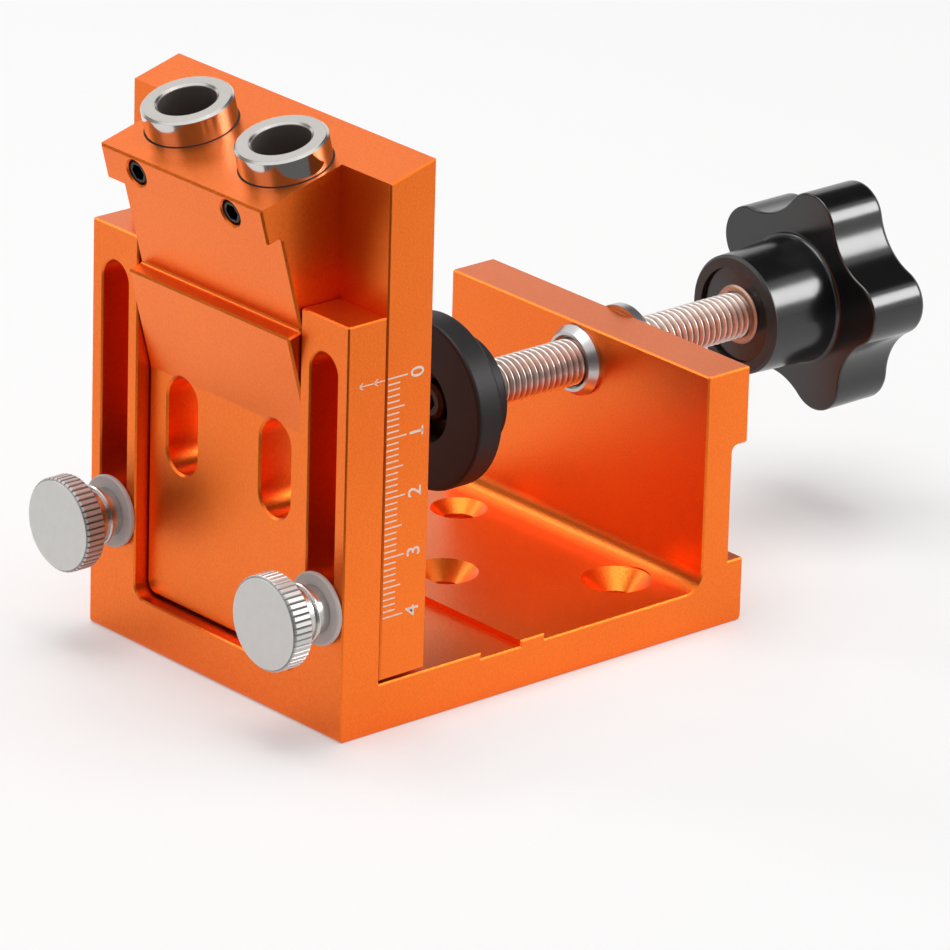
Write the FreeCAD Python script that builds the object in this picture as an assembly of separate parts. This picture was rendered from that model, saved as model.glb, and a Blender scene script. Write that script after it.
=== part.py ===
import FreeCAD, Part
import math
import os

# Pocket hole jig with a sliding drill guide carriage and a screw clamp.
# Millimetres, +Z up. X = 0 is the plane of symmetry, Z = 0 the underside of the base.
# Y = 0 is the middle of the frame, with the front wall at negative Y and the knob at positive Y.

# Frame: one aluminium piece with a front wall, a base and a low rear wall
FRAME_WIDTH = 63.2
FRAME_LENGTH = 85.0
POST_HEIGHT = 69.5
FRONT_WALL_THICKNESS = 7.8
REAR_WALL_HEIGHT = 44.0
REAR_WALL_THICKNESS = 9.0
BASE_THICKNESS = 8.2
FLOOR_STEP = 1.0
REAR_FILLET = 3.3
EDGE_BREAK = 0.25
LOWER_EDGE_BREAK = 0.8

# Base steps, as distances behind the frame's front face
GROOVE_START = 29.0
GROOVE_END = 37.3
RIDGE_END = 42.4

# Finger notch across the rear wall's outer face
NOTCH_BOTTOM = 10.9
NOTCH_TOP = 30.9
NOTCH_DEPTH = 3.2
NOTCH_FILLET = 1.2

# Window and clamping slots in the front wall
WINDOW_WIDTH = 40.3
WINDOW_CORNER = 2.4
SLOT_SPACING = 51.6
SLOT_WIDTH = 6.5
SLOT_TOP = 63.75
SLOT_BOTTOM = 18.0

# Countersunk screw holes in the base; the sinks differ in depth, and so in width
BENCH_HOLE_RADIUS = 2.75
REAR_HOLE_SPACING = 39.2
REAR_HOLE_SETBACK = 68.3
FRONT_HOLE_SETBACK = 48.3
LEFT_SINK_RADIUS = 4.8
RIGHT_SINK_RADIUS = 5.85
FRONT_SINK_RADIUS = 5.65

# Drill guide carriage: a slab behind the front wall with a block in the window
SLIDE_GAP = 0.1
SLAB_WIDTH = 63.1
SLAB_THICKNESS = 9.2
SLAB_TOP = 93.65
CARRIAGE_LIFT = 0.5
BLOCK_WIDTH = 39.6
BLOCK_CORNER = 2.0
DRILL_ANGLE = 15.0
HEAD_REACH = 8.2
HEAD_HEIGHT = 6.3
CHANNEL_DEPTH = 2.7
CHANNEL_HEIGHT = 16.7
CHANNEL_FILLET = 0.5
PLATE_RECESS = 2.4
HEAD_EDGE_BREAK = 0.35

# Drill bushes, their bores and the chip slots
DRILL_SPACING = 23.1
DRILL_RADIUS = 4.75
DRILL_CLEARANCE_RADIUS = 5.1
BUSH_RADIUS = 7.5
BUSH_SETBACK = 12.2
BUSH_STAND = 4.4
BUSH_DEPTH = 16.0
BUSH_SEAT_GAP = 0.02
DRILL_BUSH_RIM_BREAK = 0.4
DRILL_BUSH_MOUTH_BREAK = 0.45
CHIP_SLOT_WIDTH = 7.4
CHIP_SLOT_TOP = 47.5
CHIP_SLOT_BOTTOM = 31.3
CHIP_SLOT_REACH = 15.0
CHIP_SLOT_BREAK = 0.35

# Set screws that hold the drill bushes
SET_SCREW_RADIUS = 2.2
SET_SCREW_DROP = 2.9
SET_SCREW_RECESS = 0.35
SET_SCREW_SOCKET = 2.5
SET_SCREW_SOCKET_DEPTH = 2.2
SET_SCREW_MOUTH_BREAK = 0.3
SET_SCREW_END_BREAK = 0.44

# Thumb screws and their nylon washers
THUMB_HEIGHT = 21.3
THUMB_STAND = 11.3
THUMB_HEAD_RADIUS = 7.8
THUMB_HEAD_THICKNESS = 3.9
THUMB_HEAD_BREAK = 0.45
KNURL_COUNT = 48
KNURL_DEPTH = 0.38
KNURL_LAND = 0.28
THUMB_NECK_RADIUS = 4.5
THUMB_NECK_LENGTH = 3.2
THUMB_RING_RADIUS = 5.0
THUMB_RING_LENGTH = 0.7
THUMB_RING_BREAK = 0.2
THUMB_SHOULDER_RADIUS = 4.05
THUMB_SHANK_RADIUS = 2.95
THUMB_SHANK_REACH = 15.8
THUMB_TIP_BREAK = 0.6
THUMB_HOLE_RADIUS = 3.0
WASHER_RADIUS = 6.0
WASHER_BORE = 3.15
WASHER_THICKNESS = 1.0
WASHER_GAP = 0.1
WASHER_ROUND = 0.35

# Clamp spindle, its bush in the rear wall and the bush's lock nut
SPINDLE_HEIGHT = 37.65
SPINDLE_RADIUS = 3.95
SPINDLE_BORE_RADIUS = 4.0
JOURNAL_RADIUS = 3.0
JOURNAL_BORE_RADIUS = 3.05
BUSH_MOUTH_BREAK = 0.5
BUSH_BARREL_RADIUS = 5.0
BUSH_FLANGE_RADIUS = 5.95
BUSH_FLANGE_RIM = 0.6
BUSH_NOSE_RADIUS = 5.0
BUSH_NOSE_LENGTH = 2.0
LOCK_NUT_RADIUS = 7.2
LOCK_NUT_THICKNESS = 2.1
LOCK_NUT_BREAK = 0.4
BUSH_SEAT_RADIUS = 5.02

# Clamp pad on the spindle's nose
PAD_FACE_SETBACK = 42.4
PAD_RADIUS = 14.5
PAD_RIM_THICKNESS = 5.0
PAD_BOSS_RADIUS = 9.8
PAD_BOSS_LENGTH = 5.2
PAD_EDGE_ROUND = 0.6
PAD_RECESS_RADIUS = 6.5
PAD_RECESS_DEPTH = 5.0
PAD_SOCKET_RADIUS = 4.25
PAD_SOCKET_DEPTH = 3.0
PAD_END_PLAY = 0.1
PAD_WASHER_RADIUS = 5.2
PAD_WASHER_THICKNESS = 0.8
PAD_SCREW_HEAD_RADIUS = 3.5
PAD_SCREW_HEAD_HEIGHT = 2.4
PAD_SCREW_RADIUS = 1.98
PAD_SCREW_BORE_RADIUS = 2.0
PAD_SCREW_LENGTH = 9.0
PAD_SCREW_SOCKET = 2.5
PAD_SCREW_SOCKET_DEPTH = 1.4

# Star knob with its metal insert
HUB_SETBACK = 110.5
HUB_FACE_RADIUS = 10.15
HUB_ROOT_RADIUS = 10.75
HUB_LENGTH = 13.75
HUB_BREAK = 0.4
HUB_ROOT_FILLET = 0.8
HUB_RECESS_RADIUS = 8.1
HUB_RECESS_DEPTH = 0.7
STAR_THICKNESS = 11.7
LOBE_COUNT = 5
LOBE_FIRST_ANGLE = 5.8
LOBE_CENTRE = 13.6
LOBE_RADIUS = 5.8
VALLEY_RADIUS = 14.75
STAR_FRONT_ROUND = 0.35
STAR_BACK_ROUND = 1.1
INSERT_RADIUS = 5.05
INSERT_STAND = 0.35
INSERT_DEPTH = 14.0
INSERT_BREAK = 0.3
INSERT_SEAT_RADIUS = 5.07
SPINDLE_SEAT_RADIUS = 3.97
SPINDLE_END_BREAK = 0.5
SPINDLE_END_GAP = 1.0

# How far a cutting shape runs past the face that it cuts
OVERRUN = 1.0

# Places worked out from the sizes above
FRONT_Y = -FRAME_LENGTH / 2
REAR_Y = FRAME_LENGTH / 2
REAR_INNER_Y = REAR_Y - REAR_WALL_THICKNESS
FLOOR_Z = BASE_THICKNESS - FLOOR_STEP
SLAB_FRONT_Y = FRONT_Y + FRONT_WALL_THICKNESS + SLIDE_GAP
SLAB_BACK_Y = SLAB_FRONT_Y + SLAB_THICKNESS
CARRIAGE_BOTTOM = BASE_THICKNESS + CARRIAGE_LIFT
PLATE_Y = FRONT_Y + PLATE_RECESS
TILT = math.radians(DRILL_ANGLE)
PAD_FACE_Y = FRONT_Y + PAD_FACE_SETBACK
PAD_WEB_Y = PAD_FACE_Y + PAD_RECESS_DEPTH
PAD_REAR_Y = PAD_FACE_Y + PAD_RIM_THICKNESS + PAD_BOSS_LENGTH
NOSE_Y = PAD_WEB_Y - PAD_END_PLAY
HUB_Y = FRONT_Y + HUB_SETBACK
STAR_Y = HUB_Y + HUB_LENGTH
INSERT_Y = HUB_Y + HUB_RECESS_DEPTH - INSERT_STAND
DRILL_X = DRILL_SPACING / 2
# Place of each bench hole: its X, its setback from the front face and its sink's radius
BENCH_HOLES = (
    (-REAR_HOLE_SPACING / 2, REAR_HOLE_SETBACK, LEFT_SINK_RADIUS),
    (REAR_HOLE_SPACING / 2, REAR_HOLE_SETBACK, RIGHT_SINK_RADIUS),
    (0, FRONT_HOLE_SETBACK, FRONT_SINK_RADIUS),
)
SIDES = {"left": -1, "right": 1}

X_AXIS = FreeCAD.Vector(1, 0, 0)
Y_AXIS = FreeCAD.Vector(0, 1, 0)
Z_AXIS = FreeCAD.Vector(0, 0, 1)
# The drill axis pointing up out of a bush, and the direction square to it, into the block
DRILL_UP = FreeCAD.Vector(0, -math.sin(TILT), math.cos(TILT))
DRILL_IN = FreeCAD.Vector(0, math.cos(TILT), math.sin(TILT))


def top_plane_z(y):
    """Height of the carriage's sloping top over a place in Y."""
    return SLAB_TOP + (y - SLAB_BACK_Y) * math.tan(TILT)


def prism_yz(points, width):
    """Straight-sided outline in the YZ plane, extruded to a width centred on X = 0."""
    corners = [FreeCAD.Vector(-width / 2, y, z) for y, z in points]
    face = Part.Face(Part.makePolygon(corners + corners[:1]))
    return face.extrude(X_AXIS * width)


def turned(profile, base, axis):
    """Solid of revolution; the profile lists (distance along the axis, radius)."""
    points = [base + axis * along + X_AXIS * radius for along, radius in profile]
    face = Part.Face(Part.makePolygon(points + points[:1]))
    return face.revolve(base, axis, 360)


def edges_where(shape, test):
    """Edges whose bounding box passes a test."""
    return [edge for edge in shape.Edges if test(edge.BoundBox)]


def at(value, target, slack=0.01):
    """True where two lengths agree."""
    return abs(value - target) < slack


def edges_along_x(shape, y, z, slack=0.01):
    """Edges that run along X through a point of the YZ plane."""
    def test(box):
        flat = at(box.YMin, box.YMax) and at(box.ZMin, box.ZMax)
        return flat and at(box.YMin, y, slack) and at(box.ZMin, z, slack)
    return edges_where(shape, test)


def obround_outline(x, z_low, z_high, width, y, margin=0.0):
    """Upright slot outline with round ends, wider all round by a margin."""
    radius = width / 2 + margin
    lift_low = Z_AXIS * (z_low + width / 2)
    lift_high = Z_AXIS * (z_high - width / 2)
    left = FreeCAD.Vector(x - radius, y, 0)
    right = FreeCAD.Vector(x + radius, y, 0)
    crown = FreeCAD.Vector(x, y, z_high + margin)
    sole = FreeCAD.Vector(x, y, z_low - margin)
    return Part.Wire([
        Part.LineSegment(left + lift_low, left + lift_high).toShape(),
        Part.Arc(left + lift_high, crown, right + lift_high).toShape(),
        Part.LineSegment(right + lift_high, right + lift_low).toShape(),
        Part.Arc(right + lift_low, sole, left + lift_low).toShape(),
    ])


def obround(x, z_low, z_high, width, y_start, y_end):
    """Upright slot shape with round ends, extruded along Y."""
    outline = obround_outline(x, z_low, z_high, width, y_start)
    return Part.Face(outline).extrude(Y_AXIS * (y_end - y_start))


def hex_socket(centre, axis, across_flats, depth):
    """Hexagonal prism sunk from a face, along an axis square to X."""
    corner = across_flats / math.sqrt(3)
    up = axis.cross(X_AXIS)
    points = []
    for index in range(6):
        angle = math.radians(60 * index)
        points.append(centre + X_AXIS * corner * math.cos(angle) + up * corner * math.sin(angle))
    face = Part.Face(Part.makePolygon(points + points[:1]))
    return face.extrude(axis * depth)


# Frame

def frame_outline():
    """Side view of the frame: front wall, stepped base and rear wall with its notch."""
    notch_y = REAR_Y - NOTCH_DEPTH
    wall_y = FRONT_Y + FRONT_WALL_THICKNESS
    return [
        (FRONT_Y, 0),
        (REAR_Y, 0),
        (REAR_Y, NOTCH_BOTTOM),
        (notch_y, NOTCH_BOTTOM),
        (notch_y, NOTCH_TOP),
        (REAR_Y, NOTCH_TOP),
        (REAR_Y, REAR_WALL_HEIGHT),
        (REAR_INNER_Y, REAR_WALL_HEIGHT),
        (REAR_INNER_Y, FLOOR_Z),
        (FRONT_Y + RIDGE_END, FLOOR_Z),
        (FRONT_Y + RIDGE_END, BASE_THICKNESS),
        (FRONT_Y + GROOVE_END, BASE_THICKNESS),
        (FRONT_Y + GROOVE_END, FLOOR_Z),
        (FRONT_Y + GROOVE_START, FLOOR_Z),
        (FRONT_Y + GROOVE_START, BASE_THICKNESS),
        (wall_y, BASE_THICKNESS),
        (wall_y, POST_HEIGHT),
        (FRONT_Y, POST_HEIGHT),
    ]


def window_tool():
    """Opening between the posts, down to the base, with rounded lower corners."""
    height = POST_HEIGHT - BASE_THICKNESS + OVERRUN
    tool = Part.makeBox(WINDOW_WIDTH, FRONT_WALL_THICKNESS + 2 * OVERRUN, height,
                        FreeCAD.Vector(-WINDOW_WIDTH / 2, FRONT_Y - OVERRUN, BASE_THICKNESS))

    def lower_corner(box):
        return at(box.ZMin, BASE_THICKNESS) and at(box.ZMax, BASE_THICKNESS) and at(box.XMin, box.XMax)
    return tool.makeFillet(WINDOW_CORNER, edges_where(tool, lower_corner))


def bench_hole_tool(x, setback, sink_radius):
    """Countersunk hole, with the sink's upper part clearing the fillet at the rear wall."""
    sink = sink_radius - BENCH_HOLE_RADIUS
    base = FreeCAD.Vector(x, FRONT_Y + setback, 0)
    profile = [
        (-OVERRUN, 0),
        (-OVERRUN, BENCH_HOLE_RADIUS),
        (FLOOR_Z - sink, BENCH_HOLE_RADIUS),
        (FLOOR_Z, sink_radius),
        (FLOOR_Z + REAR_FILLET, sink_radius),
        (FLOOR_Z + REAR_FILLET, 0),
    ]
    return turned(profile, base, Z_AXIS)


def make_frame():
    """Front wall with two slotted posts, stepped base and notched rear wall in one piece."""
    body = prism_yz(frame_outline(), FRAME_WIDTH)
    body = body.makeFillet(REAR_FILLET, edges_along_x(body, REAR_INNER_Y, FLOOR_Z))
    body = body.makeFillet(NOTCH_FILLET, edges_along_x(body, REAR_Y - NOTCH_DEPTH, NOTCH_TOP))
    corners = ((REAR_Y, 0), (FRONT_Y, 0))
    for y, z in corners:
        body = body.makeFillet(LOWER_EDGE_BREAK, edges_along_x(body, y, z))
    corners = ((REAR_Y, REAR_WALL_HEIGHT), (REAR_INNER_Y, REAR_WALL_HEIGHT), (REAR_Y, NOTCH_TOP),
               (REAR_Y, NOTCH_BOTTOM))
    for y, z in corners:
        body = body.makeChamfer(EDGE_BREAK, edges_along_x(body, y, z))
    for side in SIDES.values():
        face_x = side * FRAME_WIDTH / 2
        body = body.makeChamfer(EDGE_BREAK, edges_where(
            body, lambda box: at(box.XMin, face_x) and at(box.XMax, face_x)))
    body = body.cut(window_tool())
    for side in SIDES.values():
        body = body.cut(obround(side * SLOT_SPACING / 2, SLOT_BOTTOM, SLOT_TOP, SLOT_WIDTH,
                                FRONT_Y - OVERRUN, FRONT_Y + FRONT_WALL_THICKNESS + OVERRUN))
    for x, setback, sink_radius in BENCH_HOLES:
        body = body.cut(bench_hole_tool(x, setback, sink_radius))
    centre = spindle_point(REAR_INNER_Y - OVERRUN)
    body = body.cut(Part.makeCylinder(BUSH_SEAT_RADIUS, REAR_WALL_THICKNESS + 2 * OVERRUN, centre, Y_AXIS))
    inner = WINDOW_WIDTH / 2

    def front_opening(box):
        on_face = at(box.YMin, FRONT_Y) and at(box.YMax, FRONT_Y)
        side_x = FRAME_WIDTH / 2 - 2 * EDGE_BREAK
        return on_face and abs(box.XMin) < side_x and abs(box.XMax) < side_x

    def post_top(box):
        level = at(box.ZMin, POST_HEIGHT) and at(box.ZMax, POST_HEIGHT)
        return level and (not at(box.XMin, box.XMax) or at(abs(box.XMin), inner))

    body = body.makeChamfer(EDGE_BREAK, edges_where(body, front_opening) + edges_where(body, post_top))
    return body


# Drill guide carriage

def head_corner():
    """Top front corner of the head in the YZ plane."""
    y = FRONT_Y - HEAD_REACH
    return FreeCAD.Vector(0, y, top_plane_z(y))


def block_outline():
    """Side view of the block: head, label channel, wedge and lower plate."""
    head_top = head_corner()
    head_low = head_top - DRILL_UP * HEAD_HEIGHT
    channel_top = head_low + DRILL_IN * CHANNEL_DEPTH
    channel_low = channel_top - DRILL_UP * CHANNEL_HEIGHT
    wedge_top = channel_low - DRILL_IN * CHANNEL_DEPTH
    run = (PLATE_Y - wedge_top.y) / math.sin(TILT)
    wedge_low = wedge_top - DRILL_UP * run
    inside_y = (SLAB_FRONT_Y + SLAB_BACK_Y) / 2
    front = [head_top, head_low, channel_top, channel_low, wedge_top, wedge_low]
    points = [(corner.y, corner.z) for corner in front]
    points.append((PLATE_Y, CARRIAGE_BOTTOM))
    points.append((inside_y, CARRIAGE_BOTTOM))
    points.append((inside_y, top_plane_z(inside_y)))
    return points


def slab_outline():
    """Side view of the slab behind the front wall."""
    return [
        (SLAB_FRONT_Y, CARRIAGE_BOTTOM),
        (SLAB_BACK_Y, CARRIAGE_BOTTOM),
        (SLAB_BACK_Y, SLAB_TOP),
        (SLAB_FRONT_Y, top_plane_z(SLAB_FRONT_Y)),
    ]


def bush_seat(side):
    """Point where a drill axis meets the carriage's sloping top."""
    return head_corner() + DRILL_IN * BUSH_SETBACK + X_AXIS * side * DRILL_X


def set_screw_mouth(side):
    """Centre of a set screw's hole on the head's front face."""
    return head_corner() - DRILL_UP * SET_SCREW_DROP + X_AXIS * side * DRILL_X


def drill_way_tool(side):
    """Seat of a drill bush and the drill's way on through the slab."""
    seat = bush_seat(side)
    mouth = BUSH_RADIUS + BUSH_SEAT_GAP
    above = 2 * BUSH_RADIUS * math.tan(TILT)
    profile = [
        (above, 0),
        (above, mouth),
        (-BUSH_DEPTH, mouth),
        (-BUSH_DEPTH, DRILL_CLEARANCE_RADIUS),
        (-SLAB_TOP, DRILL_CLEARANCE_RADIUS),
        (-SLAB_TOP, 0),
    ]
    return turned(profile, seat, DRILL_UP)


def set_screw_hole_tool(side):
    """Tapped hole from the head's front face into the bush seat, with a broken edge."""
    mouth = set_screw_mouth(side)
    wide = SET_SCREW_RADIUS + SET_SCREW_MOUTH_BREAK
    radius = SET_SCREW_RADIUS + BUSH_SEAT_GAP
    reach = BUSH_SETBACK - BUSH_RADIUS / 2
    profile = [
        (-OVERRUN, 0),
        (-OVERRUN, wide),
        (0, wide),
        (SET_SCREW_MOUTH_BREAK, radius),
        (reach, radius),
        (reach, 0),
    ]
    return turned(profile, mouth, DRILL_IN)


def chip_slot_mouth_tool(side):
    """Taper that breaks the edge of a chip slot where it opens on the plate."""
    slot = (side * DRILL_X, CHIP_SLOT_BOTTOM, CHIP_SLOT_TOP, CHIP_SLOT_WIDTH)
    outer = obround_outline(*slot, PLATE_Y - CHIP_SLOT_BREAK, 2 * CHIP_SLOT_BREAK)
    inner = obround_outline(*slot, PLATE_Y + CHIP_SLOT_BREAK)
    return Part.makeLoft([outer, inner], True, True)


def carriage_blank():
    """Slab and block as one solid, with its outer edges broken."""
    block = prism_yz(block_outline(), BLOCK_WIDTH)
    channel_low = head_corner() - DRILL_UP * (HEAD_HEIGHT + CHANNEL_HEIGHT) + DRILL_IN * CHANNEL_DEPTH
    channel_top = head_corner() - DRILL_UP * HEAD_HEIGHT + DRILL_IN * CHANNEL_DEPTH
    for corner in (channel_low, channel_top):
        block = block.makeFillet(CHANNEL_FILLET, edges_along_x(block, corner.y, corner.z))

    def on_side(box):
        return at(abs(box.XMin), BLOCK_WIDTH / 2) and at(box.XMin, box.XMax)

    def lower_corner(box):
        return on_side(box) and at(box.ZMin, CARRIAGE_BOTTOM) and at(box.ZMax, CARRIAGE_BOTTOM)
    block = block.makeFillet(BLOCK_CORNER, edges_where(block, lower_corner))
    # The chamfer follows the rounded corners along the plate's lower edge
    block = block.makeChamfer(HEAD_EDGE_BREAK, edges_where(
        block, lambda box: on_side(box) and box.YMax < SLAB_FRONT_Y))
    slab = prism_yz(slab_outline(), SLAB_WIDTH)
    for side in SIDES.values():
        face_x = side * SLAB_WIDTH / 2
        slab = slab.makeChamfer(EDGE_BREAK, edges_where(
            slab, lambda box: at(box.XMin, face_x) and at(box.XMax, face_x)))
    body = slab.fuse(block).removeSplitter()
    head = head_corner()
    wedge = head - DRILL_UP * (HEAD_HEIGHT + CHANNEL_HEIGHT)
    low = head - DRILL_UP * HEAD_HEIGHT
    for corner in (head, low, wedge):
        body = body.makeChamfer(HEAD_EDGE_BREAK, edges_along_x(body, corner.y, corner.z))
    body = body.makeChamfer(EDGE_BREAK, edges_along_x(body, SLAB_BACK_Y, SLAB_TOP))
    return body


def make_carriage():
    """Drill guide carriage with bush seats, drill ways, chip slots and tapped holes."""
    body = carriage_blank()
    for side in SIDES.values():
        body = body.cut(drill_way_tool(side))
        body = body.cut(set_screw_hole_tool(side))
        body = body.cut(obround(side * DRILL_X, CHIP_SLOT_BOTTOM, CHIP_SLOT_TOP, CHIP_SLOT_WIDTH,
                                FRONT_Y - HEAD_REACH, FRONT_Y + CHIP_SLOT_REACH))
        body = body.cut(chip_slot_mouth_tool(side))
        centre = FreeCAD.Vector(side * SLOT_SPACING / 2, SLAB_FRONT_Y - OVERRUN, THUMB_HEIGHT)
        body = body.cut(Part.makeCylinder(THUMB_HOLE_RADIUS, SLAB_THICKNESS, centre, Y_AXIS))
    return body


def make_drill_bush(side):
    """Hardened guide bush, held by its set screw in the carriage."""
    floor = -BUSH_DEPTH + BUSH_SEAT_GAP
    profile = [
        (floor, DRILL_RADIUS),
        (floor, BUSH_RADIUS),
        (BUSH_STAND - DRILL_BUSH_RIM_BREAK, BUSH_RADIUS),
        (BUSH_STAND, BUSH_RADIUS - DRILL_BUSH_RIM_BREAK),
        (BUSH_STAND, DRILL_RADIUS + DRILL_BUSH_MOUTH_BREAK),
        (BUSH_STAND - DRILL_BUSH_MOUTH_BREAK, DRILL_RADIUS),
    ]
    return turned(profile, bush_seat(side), DRILL_UP)


def make_set_screw(side):
    """Socket set screw that bears on a drill bush."""
    mouth = set_screw_mouth(side)
    tip = BUSH_SETBACK - BUSH_RADIUS - BUSH_SEAT_GAP
    edge = SET_SCREW_END_BREAK
    profile = [
        (SET_SCREW_RECESS, 0),
        (SET_SCREW_RECESS, SET_SCREW_RADIUS - edge),
        (SET_SCREW_RECESS + edge, SET_SCREW_RADIUS),
        (tip - edge, SET_SCREW_RADIUS),
        (tip, SET_SCREW_RADIUS - edge),
        (tip, 0),
    ]
    screw = turned(profile, mouth, DRILL_IN)
    socket = hex_socket(mouth, DRILL_IN, SET_SCREW_SOCKET, SET_SCREW_RECESS + SET_SCREW_SOCKET_DEPTH)
    return screw.cut(socket)


# Thumb screws

def knurled_prism(centre, radius, length):
    """Disc with straight V grooves along its rim."""
    points = []
    step = 2 * math.pi / KNURL_COUNT
    for index in range(KNURL_COUNT):
        for offset, reach in ((-KNURL_LAND, radius), (KNURL_LAND, radius), (0.5, radius - KNURL_DEPTH)):
            angle = step * (index + offset)
            points.append(centre + X_AXIS * reach * math.cos(angle) + Z_AXIS * reach * math.sin(angle))
    face = Part.Face(Part.makePolygon(points + points[:1]))
    return face.extrude(Y_AXIS * length)


def make_thumb_screw(side):
    """Knurled thumb screw with a stepped collar; its shank passes a post's slot into the slab."""
    base = FreeCAD.Vector(side * SLOT_SPACING / 2, FRONT_Y - THUMB_STAND, THUMB_HEIGHT)
    head_end = THUMB_HEAD_THICKNESS
    neck_end = head_end + THUMB_NECK_LENGTH
    ring_end = neck_end + THUMB_RING_LENGTH
    shoulder_end = THUMB_STAND - WASHER_THICKNESS - 2 * WASHER_GAP
    shank_end = THUMB_STAND + THUMB_SHANK_REACH
    edge = THUMB_RING_BREAK
    profile = [
        (0, 0),
        (0, THUMB_HEAD_RADIUS - THUMB_HEAD_BREAK),
        (THUMB_HEAD_BREAK, THUMB_HEAD_RADIUS),
        (head_end - THUMB_HEAD_BREAK, THUMB_HEAD_RADIUS),
        (head_end, THUMB_HEAD_RADIUS - THUMB_HEAD_BREAK),
        (head_end, THUMB_NECK_RADIUS),
        (neck_end, THUMB_NECK_RADIUS),
        (neck_end, THUMB_RING_RADIUS - edge),
        (neck_end + edge, THUMB_RING_RADIUS),
        (ring_end - edge, THUMB_RING_RADIUS),
        (ring_end, THUMB_RING_RADIUS - edge),
        (ring_end, THUMB_SHOULDER_RADIUS),
        (shoulder_end, THUMB_SHOULDER_RADIUS),
        (shoulder_end, THUMB_SHANK_RADIUS),
        (shank_end - THUMB_TIP_BREAK, THUMB_SHANK_RADIUS),
        (shank_end, THUMB_SHANK_RADIUS - THUMB_TIP_BREAK),
        (shank_end, 0),
    ]
    blank = turned(profile, base, Y_AXIS)
    start = base - Y_AXIS * OVERRUN
    rim = knurled_prism(start, THUMB_HEAD_RADIUS, head_end + OVERRUN)
    core = Part.makeCylinder(THUMB_RING_RADIUS + OVERRUN, shank_end + 2 * OVERRUN, start, Y_AXIS)
    return blank.common(rim.fuse(core))


def make_nylon_washer(side):
    """Soft washer between a thumb screw and the frame, with rounded edges."""
    base = FreeCAD.Vector(side * SLOT_SPACING / 2, FRONT_Y - WASHER_GAP - WASHER_THICKNESS, THUMB_HEIGHT)
    profile = [
        (0, WASHER_BORE),
        (0, WASHER_RADIUS),
        (WASHER_THICKNESS, WASHER_RADIUS),
        (WASHER_THICKNESS, WASHER_BORE),
    ]
    washer = turned(profile, base, Y_AXIS)

    def outer_rim(box):
        return at(box.YMin, box.YMax) and box.XLength > 2 * WASHER_RADIUS - 1
    return washer.makeFillet(WASHER_ROUND, edges_where(washer, outer_rim))


# Clamp

def spindle_point(y):
    """Point on the clamp spindle's axis."""
    return FreeCAD.Vector(0, y, SPINDLE_HEIGHT)


def make_spindle():
    """Clamp spindle, with a journal for the pad at its nose and its other end in the knob."""
    journal_end = PAD_REAR_Y - PAD_SOCKET_DEPTH + PAD_END_PLAY
    end = INSERT_Y + INSERT_DEPTH - SPINDLE_END_GAP
    start = spindle_point(NOSE_Y)
    tip = SPINDLE_END_BREAK
    profile = [
        (0, PAD_SCREW_BORE_RADIUS),
        (0, JOURNAL_RADIUS),
        (journal_end - NOSE_Y, JOURNAL_RADIUS),
        (journal_end - NOSE_Y, SPINDLE_RADIUS - tip),
        (journal_end - NOSE_Y + tip, SPINDLE_RADIUS),
        (end - NOSE_Y - tip, SPINDLE_RADIUS),
        (end - NOSE_Y, SPINDLE_RADIUS - tip),
        (end - NOSE_Y, 0),
        (PAD_SCREW_LENGTH + SPINDLE_END_GAP, 0),
        (PAD_SCREW_LENGTH + SPINDLE_END_GAP, PAD_SCREW_BORE_RADIUS),
    ]
    return turned(profile, start, Y_AXIS)


def make_spindle_bush():
    """Threaded bush through the rear wall, with a conical flange on the clamp side."""
    nose = BUSH_NOSE_LENGTH
    mouth = BUSH_MOUTH_BREAK
    end = nose + REAR_WALL_THICKNESS + LOCK_NUT_THICKNESS
    profile = [
        (0, SPINDLE_BORE_RADIUS + mouth),
        (0, BUSH_NOSE_RADIUS),
        (nose - BUSH_FLANGE_RIM, BUSH_FLANGE_RADIUS),
        (nose, BUSH_FLANGE_RADIUS),
        (nose, BUSH_BARREL_RADIUS),
        (end - mouth, BUSH_BARREL_RADIUS),
        (end, BUSH_BARREL_RADIUS - mouth),
        (end, SPINDLE_BORE_RADIUS + mouth),
        (end - mouth, SPINDLE_BORE_RADIUS),
        (mouth, SPINDLE_BORE_RADIUS),
    ]
    return turned(profile, spindle_point(REAR_INNER_Y - nose), Y_AXIS)


def make_lock_nut():
    """Round nut that draws the spindle bush tight against the rear wall."""
    edge = LOCK_NUT_BREAK
    profile = [
        (0, BUSH_SEAT_RADIUS),
        (0, LOCK_NUT_RADIUS),
        (LOCK_NUT_THICKNESS - edge, LOCK_NUT_RADIUS),
        (LOCK_NUT_THICKNESS, LOCK_NUT_RADIUS - edge),
        (LOCK_NUT_THICKNESS, BUSH_SEAT_RADIUS),
    ]
    return turned(profile, spindle_point(REAR_Y), Y_AXIS)


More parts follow.
